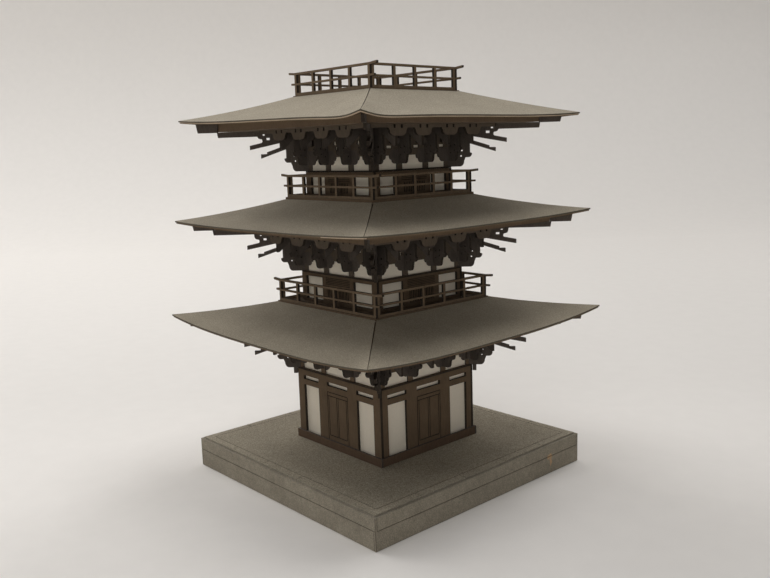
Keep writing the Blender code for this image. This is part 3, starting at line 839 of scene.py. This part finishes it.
def upper_door(level):
    """A panel with level scores over two slatted leaves."""
    half, head = UPPER_DOOR_HALF[level - 1], UPPER_DOOR_HEAD[level - 1]
    foot = FLOOR[level] + WINDOW_ABOVE_FLOOR + SLIT_FOOT
    steps = [i for i in range(PANEL_SCORES) if head + PANEL_STEP * i < WINDOW_TOP[level]]
    scores = [level_score(-half, half, head + UPPER_DOOR_RAIL + PANEL_STEP * i, PANEL_SCORE) for i in steps]
    for i in range(int((half - SLIT_MARGIN) / SLIT_STEP)):
        x = FIRST_SLIT + SLIT_STEP * i
        for middle in (x, -x):
            slit = rectangle(middle - SLIT_HALF, foot, middle + SLIT_HALF, head - UPPER_DOOR_RAIL)
            scores.append((slit, SCORE_DEPTH))
    return scores


def add_frame(level):
    half = WALL_HALF[level]
    scores = ground_door() if level == 0 else upper_door(level)
    for side in range(4):
        end = half if side % 2 == 0 else half - CARD - BUTT_GAP
        outline = rectangle(-end, FLOOR[level], end, FRAME_TOP[level])
        add_sheet(f"wall_{level + 1}_{SIDES[side]}", outline, CARD, face_place(side, half - CARD / 2),
                  BROWN_SHEET, [f"wall_frame_{level + 1}"], "brown_card",
                  holes=frame_holes(level), grooves=scores)


# Brackets

def add_bracket_sheet(level, name, outline, thickness, place, sheet=DARK_SHEET, **cuts):
    add_sheet(name, outline, thickness, place, sheet, [f"bracket_course_{level + 1}"], "dark_card", **cuts)


def bracket_arms(middle, side_sign):
    """Half of one bracket in the wall's plane, from its neck out to the tie above the white wall."""
    first = [(NECK_HALF, -LEDGE / 2), (NECK_HALF, ARM_BOTTOM), *lobe(LOWER_LOBE), *lobe(UPPER_LOBE)]
    points = [(middle + side_sign * x, y) for x, y in first]
    return points if side_sign > 0 else points[::-1]


def tie_holes(level, top):
    """Openings in the tie, through which the white wall shows."""
    spacing = BRACKET_LINE[level]
    bays = (-2 * spacing, 0, 2 * spacing)
    found = [(middle, opening) for middle in (-spacing, spacing) for opening in BRACKET_OPENINGS[level]]
    found += [(middle, opening) for middle in bays for opening in BAY_OPENINGS[level]]
    holes = [shifted(TIE_HOLE, middle + TIE_HOLE_SHIFT, top) for middle in bays]
    for middle, (shift, low, high, half) in found:
        holes.append(rectangle(middle + shift - half, low + top, middle + shift + half, high + top))
    return holes


def add_wall_plate(level, side):
    """The sheet behind the fins, with the necks and arms of four brackets and the tie above them."""
    half = WALL_HALF[level] - CARD + WALL_PLATE
    top = LEDGE_TOP[level]
    spacing = BRACKET_LINE[level]
    end = half - (0 if side % 2 == 0 else WALL_PLATE + BUTT_GAP)
    head = SOFFIT[level] - FIT - top
    outline = [(-end, -LEDGE / 2), *bracket_arms(-half + NECK_HALF, 1)]
    for middle in (-spacing, spacing):
        outline += bracket_arms(middle, -1) + bracket_arms(middle, 1)
    outline += [*bracket_arms(half - NECK_HALF, -1), (end, -LEDGE / 2), (end, head), (-end, head)]
    middles = (-half + NECK_HALF, -spacing, spacing, half - NECK_HALF)
    # The arms' painted shade: shallow grooves that take the dark card.
    shades = [(shifted(ARM_SHADE, middle, top), ARM_SHADE_DEPTH) for middle in middles]
    # From the second storey up, the plate takes the purlins' darker card, which is painted shade under the
    # eaves.
    add_bracket_sheet(level, f"plate_{level + 1}_{SIDES[side]}", shifted(outline, 0, top), WALL_PLATE,
                      face_place(side, half - WALL_PLATE / 2),
                      sheet_of("brown" if level == 0 else "purlin", "dark"),
                      holes=tie_holes(level, top), grooves=shades)


def add_crowns(level, side):
    """The short blocks in front of the tie, one at each bracket."""
    top = LEDGE_TOP[level]
    spacing = BRACKET_LINE[level]
    last = WALL_HALF[level] - CORNER_CROWN_INSET
    place = face_place(side, WALL_HALF[level] + CROWN_OUT - CROWN_THICKNESS / 2)
    for number, middle in enumerate((-last, CROWN_SHIFT - spacing, CROWN_SHIFT + spacing, last)):
        add_bracket_sheet(level, f"crown_{level + 1}_{SIDES[side]}_{number}", shifted(CROWN, middle, top),
                          CROWN_THICKNESS, place)


def add_purlin(level, side):
    """The outer purlin of one side, with a lobed arm under it and two slots through it at each bracket."""
    out = WALL_HALF[level] + PURLIN_OUT
    top = LEDGE_TOP[level]
    head = SOFFIT[level] - FIT - top
    last = WALL_HALF[level] - END_PURLIN_ARM_INSET
    middles = (-last, -BRACKET_LINE[level], BRACKET_LINE[level], last)
    end = out + CARD / 2 if side % 2 == 0 else out - CARD / 2 - BUTT_GAP
    right = lobe(PURLIN_LOBE) + [(PURLIN_ARM_HALF, PURLIN_BOTTOM)]
    outline = [(-end, PURLIN_BOTTOM)]
    for middle in middles:
        outline += shifted(mirrored(right) + right, middle)
    outline += [(end, PURLIN_BOTTOM), (end, head), (-end, head)]
    slots = [shifted(PURLIN_SLOT, middle + x, top) for middle in middles for x in PURLIN_SLOT_SHIFTS]
    # The purlin's card is painted shade, darker than the brown card.
    add_bracket_sheet(level, f"purlin_{level + 1}_{SIDES[side]}", shifted(outline, 0, top), CARD,
                      face_place(side, out), SHADED_BROWN_SHEET, holes=slots)


def fin_arms(reach, lift):
    """The two lobed arms of a fin, seen from the side."""
    arms = [*lobe(FIRST_ARM), (SECOND_ARM_ROOT, SECOND_ARM[0][1])]
    arms += [*lobe(SECOND_ARM), ARM_BEARING]
    return [(x * reach, y + lift) for x, y in arms]


def arm_holes(reach, lift):
    return [[(x * reach, y + lift) for x, y in rectangle(*hole)] for hole in ARM_HOLES]


def add_straight_fin(level, side, along_wall, thickness, name):
    """A fin that stands straight out from a wall, with one steep tail that ends in the purlin."""
    half = WALL_HALF[level]
    top = LEDGE_TOP[level]
    drop = FIT * (side % 2)
    lift = ARM_BOTTOM + 2 * FIT - drop
    soffit = SOFFIT[level] - 3 * FIT - drop - top
    tail_end = TAIL_TOP[level] - TAIL_FALL
    arms = fin_arms(STRAIGHT_REACH, lift)
    outline = [(-STRAIGHT_FIN_ROOT, lift), *arms, (arms[-1][0], TAIL_TOP[level]), (TAIL_FOOT, tail_end)]
    outline += [(STRAIGHT_FIN_END, tail_end), (STRAIGHT_FIN_END, soffit), (-STRAIGHT_FIN_ROOT, soffit)]
    place = fin_place(math.pi / 2 * side, along_wall)
    if thickness == CARD:
        place = nudged(place, (half, SOFFIT[level]))
    holes = [shifted(hole, half, top) for hole in arm_holes(STRAIGHT_REACH, lift)]
    add_bracket_sheet(level, f"fin_{level + 1}_{SIDES[side]}_{name}", shifted(outline, half, top), thickness,
                      place, holes=holes)


def board_bottom(level, diagonal, corner):
    """Height of the hip rafter's upper edge, which follows the soffit board above it."""
    drop = ROOF_CARD + UNDERLAY + SOFFIT_BOARD + HIP_BOARD_FALL
    half = diagonal / ROOT2
    return hip_height(level, half) - drop + curl(level, half, corner, -1)


def hip_rafter(level, corner, start, soffit):
    """The stepped hip rafter, from the fin's head out along its lower edge and back along its upper one."""
    inner_end = (EAVE_HALF[level] - INNER_BOARD_INSET) * ROOT2 + 2 * FIT
    outer_end = (EAVE_HALF[level] - OUTER_BOARD_INSET) * ROOT2
    low, step = soffit - HIP_RAFTER_DROP, soffit - 2 * FIT
    return [
        (start + FIN_HEAD_END, low),
        (inner_end, low),
        (inner_end + HIP_RAFTER_STEP, step),
        (outer_end - HIP_RAFTER_NOSE, step),
        (outer_end, board_bottom(level, outer_end, corner)),
        (inner_end, board_bottom(level, inner_end, corner)),
        (inner_end, soffit),
    ]


def add_corner_fin(level, corner):
    """A corner's bracket and the stepped hip rafter above it. Corner 1 is the near one."""
    top = LEDGE_TOP[level]
    soffit = SOFFIT[level] - 2 * FIT
    start = WALL_HALF[level] * ROOT2
    lift = -2 * FIT
    points = fin_arms(1, lift) + LOWER_TAIL_RAFTER + UPPER_TAIL_RAFTER + FIN_HEAD
    outline = shifted([(-CORNER_FIN_ROOT, lift), *points], start, top)
    if level == 0:
        arm, foot = outline[0][1], top - LEDGE - FIN_FOOT_HEIGHT
        near, far = start + FIT, start + FIN_FOOT
        outline[1:1] = [(near, arm), (near, foot), (far, foot), (far, arm)]
    outline += hip_rafter(level, corner, start, soffit) + [(start - CORNER_FIN_ROOT, soffit)]
    holes = [shifted(hole, start, top) for hole in [*arm_holes(1, lift), *FIN_GAPS]]
    place = fin_place(math.pi / 2 * corner - math.pi / 4, 0)
    place = nudged(place, (start, SOFFIT[level]), turn=0.15)
    add_bracket_sheet(level, f"corner_fin_{level + 1}_{corner}", outline, CARD, place, holes=holes)


def add_ledge(level):
    thickness = LEDGE - FIT
    place = flat_place(FRAME_TOP[level] + FIT + thickness / 2)
    add_bracket_sheet(level, f"ledge_{level + 1}", square(WALL_HALF[level]), thickness, place, BROWN_SHEET,
                      holes=[square(WALL_HALF[level] - CARD - FIT / 2)])


def add_brackets(level):
    add_ledge(level)
    for side in range(4):
        add_wall_plate(level, side)
        add_crowns(level, side)
        add_purlin(level, side)
        add_corner_fin(level, side)
        for sign, end in ((-1, "a"), (1, "b")):
            add_straight_fin(level, side, sign * BRACKET_LINE[level], CARD, "bay_" + end)
            add_straight_fin(level, side, sign * (WALL_HALF[level] - CARD / 2), END_FIN, "end_" + end)


# Roofs

def shows_tan(level, place):
    """Where the lining's edge shows a light line: round the top roof, and at one end of the second's front.
    """
    return level == 2 or (level == 1 and place.x > TAN_FROM and place.y < CARD - EAVE_HALF[level])


def add_lining(level):
    """The card under the roof sheets. Its edge shows, and at places a thin light line on it."""
    top = ROOF_CARD + LINING_GAP
    rows = rows_between(EAVE_HALF[level] - UNDERLAY_INSET, ROOF_INNER[level], LINING_ROWS)
    section = [(row, top, None) for row in rows] + [(row, top + UNDERLAY, None) for row in rows[::-1]]
    section.append((rows[0], top + TAN_THICKNESS, None))
    kinds = [0] * (len(section) - 1) + [1]
    lining = add_loft(f"roof_lining_{level + 1}", section, kinds, level, LINING_SHEET,
                      [f"eave_underlay_{level + 1}"])
    for face in lining.data.polygons:
        if face.material_index and shows_tan(level, face.center / MM):
            face.material_index = 2


def add_eave_board(level):
    """The brown board below the lining, with the step down to the level soffit."""
    top = ROOF_CARD + UNDERLAY + 2 * LAYER_GAP
    bottom = top + SOFFIT_BOARD
    rows = rows_between(EAVE_HALF[level] - OUTER_BOARD_INSET, ROOF_INNER[level], BOARD_ROWS)
    step = EAVE_HALF[level] - INNER_BOARD_INSET
    section = [(row, top, None) for row in rows]
    section += [(rows[-1], 0, SOFFIT[level]), (step, 0, SOFFIT[level])]
    section += [(step, bottom, None), (rows[0], bottom, None)]
    kinds = [0] * (len(section) - 1) + [1]
    add_loft(f"eave_board_{level + 1}", section, kinds, level, BROWN_SHEET, [f"soffit_{level + 1}"])


def add_roof_sheet(level, side):
    turn = side_turn(side)
    points = []
    for drop in (0, ROOF_CARD):
        for half in rows_between(EAVE_HALF[level], ROOF_INNER[level], ROOF_ROWS):
            width = half - seam(level, half)
            for column in range(ROOF_COLUMNS + 1):
                x = across_at(column / ROOF_COLUMNS) * width
                height = roof_height(level, half, side, x / half) - drop
                points.append(turn @ Vector((x, -half, height)) * MM)
    faces, kinds = slab_faces(ROOF_ROWS, ROOF_COLUMNS)
    name = f"{level + 1}_{SIDES[side]}"
    add_piece(f"roof_card_{name}", points, faces, kinds, ROOF_SHEET, [f"roof_{name}"],
              smooth_angle=40)


# Balconies

def rail_ends(edge, top):
    """The ends of the middle and the top rail, which rise a little past the corner."""
    low, high = MIDDLE_RAIL
    middle, upper = edge + MIDDLE_RAIL_REACH, edge + TOP_RAIL_REACH
    return [
        (edge, low),
        (middle, low + MIDDLE_RAIL_RISE),
        (middle, high + MIDDLE_RAIL_RISE),
        (edge, high),
        (edge, top - TOP_RAIL),
        (upper, top - TOP_RAIL + TOP_RAIL_RISE),
        (upper, top + TOP_RAIL_RISE),
    ]


def add_railing(level, side):
    """One railing. Only the front and the back one have rails that run past the corners."""
    half = RAIL_HALF[level]
    base = DECK_TOP[level] + FIT
    long_rails = side % 2 == 0
    edge = half if long_rails else half - RAIL_CARD - FIT
    top = RAIL_TOP[level] - base
    right = [(edge, 0), *(rail_ends(edge, top) if long_rails else ()), (edge, top)]
    pitch = (2 * edge - POST) / RAIL_BAYS[level]
    holes = []
    for bay in range(RAIL_BAYS[level]):
        x0 = -edge + POST + bay * pitch
        x1 = x0 + pitch - POST
        holes.append(rectangle(x0, BOTTOM_RAIL, x1, MIDDLE_RAIL[0]))
        holes.append(rectangle(x0, MIDDLE_RAIL[1], x1, top - TOP_RAIL))
    place = face_place(side, half - RAIL_CARD / 2) @ Matrix.Translation((0, base * MM, 0))
    name = f"{level + 2}_{SIDES[side]}"
    add_sheet(f"rail_{name}", right + mirrored(right), RAIL_CARD, place, RAIL_SHEET, [f"railing_{name}"],
              "brown_card", holes=holes)


# The whole object

def add_storey(level):
    """One storey with its roof and the balcony above it."""
    add_frame(level)
    add_brackets(level)
    add_lining(level)
    add_eave_board(level)
    for side in range(4):
        add_roof_sheet(level, side)
    for side in range(4):
        add_railing(level, side)


def finish_node(name, finish):
    """Gives a CAD node that stays in view one of the card materials."""
    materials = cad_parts[name].data.materials
    materials.clear()
    materials.append(MATERIALS[finish])


# Studio

def add_camera():
    data = bpy.data.cameras.new("camera")
    data.sensor_width = SENSOR
    data.lens = FOCAL_PIXELS / PHOTO_WIDTH * SENSOR
    data.clip_start = 0.01
    data.clip_end = 10
    obj = new_object("camera", data)
    turn = Matrix.Rotation(TURN, 4, "Z")
    tilt = Matrix.Rotation(math.radians(90 - CAMERA_TILT), 4, "X")
    roll = Matrix.Rotation(math.radians(CAMERA_ROLL), 4, "Z")
    obj.matrix_world = Matrix.Translation(Vector(CAMERA_PLACE) * MM) @ turn @ tilt @ roll
    bpy.context.scene.camera = obj


def add_backdrop():
    """A pale floor that curves up behind the model."""
    profile = [(PAPER_START, 0.0), (PAPER_MIDDLE, 0.0), (PAPER_BEND_START, 0.0)]
    for i in range(1, PAPER_BEND_STEPS + 1):
        angle = math.pi / 2 * i / PAPER_BEND_STEPS
        out, up = math.sin(angle), 1 - math.cos(angle)
        profile.append((PAPER_BEND_START + PAPER_BEND * out, PAPER_BEND * up))
    profile.append((PAPER_BEND_START + PAPER_BEND, PAPER_TOP))
    points = []
    for distance, height in profile:
        for across in (-PAPER_HALF, PAPER_HALF):
            points.append(AHEAD * distance + ASIDE * across + Vector((0, 0, height - PAPER_DROP)))
    faces = [(2 * i, 2 * i + 1, 2 * i + 3, 2 * i + 2) for i in range(len(profile) - 1)]
    mesh = bpy.data.meshes.new("backdrop")
    mesh.from_pydata(points, [], faces)
    mesh.polygons.foreach_set("use_smooth", [True] * len(faces))
    paper = card_material("backdrop_paper", PAPER, grain=0.004, mottle=0.01, bump=0.0, extra=lit_paper)
    mesh.materials.append(paper)
    obj = new_object("backdrop", mesh)


def add_light(azimuth, elevation, size, power):
    """A soft square light that looks at the model. Azimuth 0 is +X and 90 is +Y."""
    name = f"light_{azimuth}_{elevation}"
    data = bpy.data.lights.new(name, "AREA")
    data.shape = "SQUARE"
    data.size = size
    data.energy = power
    obj = new_object(name, data)
    a, e = math.radians(azimuth), math.radians(elevation)
    out = Vector((math.cos(a) * math.cos(e), math.sin(a) * math.cos(e), math.sin(e)))
    look = out.to_track_quat("Z", "Y").to_matrix().to_4x4()
    obj.matrix_world = Matrix.Translation(Vector(LIGHT_AIM) + out * LIGHT_DISTANCE) @ look


def add_world():
    """A room that looks pale beyond the floor, while only the lamps light the model."""
    world = bpy.data.worlds.new("studio")
    bpy.context.scene.world = world
    world.use_nodes = True
    background = world.node_tree.nodes["Background"]
    background.inputs["Color"].default_value = (*ROOM, 1)
    seen = node(world.node_tree, "LightPath").outputs["Is Camera Ray"]
    world.node_tree.links.new(seen, background.inputs["Strength"])


add_camera()
add_backdrop()
add_world()
for light in LIGHTS:
    add_light(*light)

add_course("lower", 0, LOWER_COURSE_TOP, 1)
add_course("upper", LOWER_COURSE_TOP + FIT, UPPER_COURSE_TOP, 0)
add_top_plate()
add_sill()
finish_node("base_floor", "base")
for storey in LEVELS:
    add_storey(storey)
    finish_node(f"wall_core_{storey + 1}", "white")
    finish_node(f"deck_{storey + 2}", "brown")

bpy.context.scene.view_settings.view_transform = "Standard"
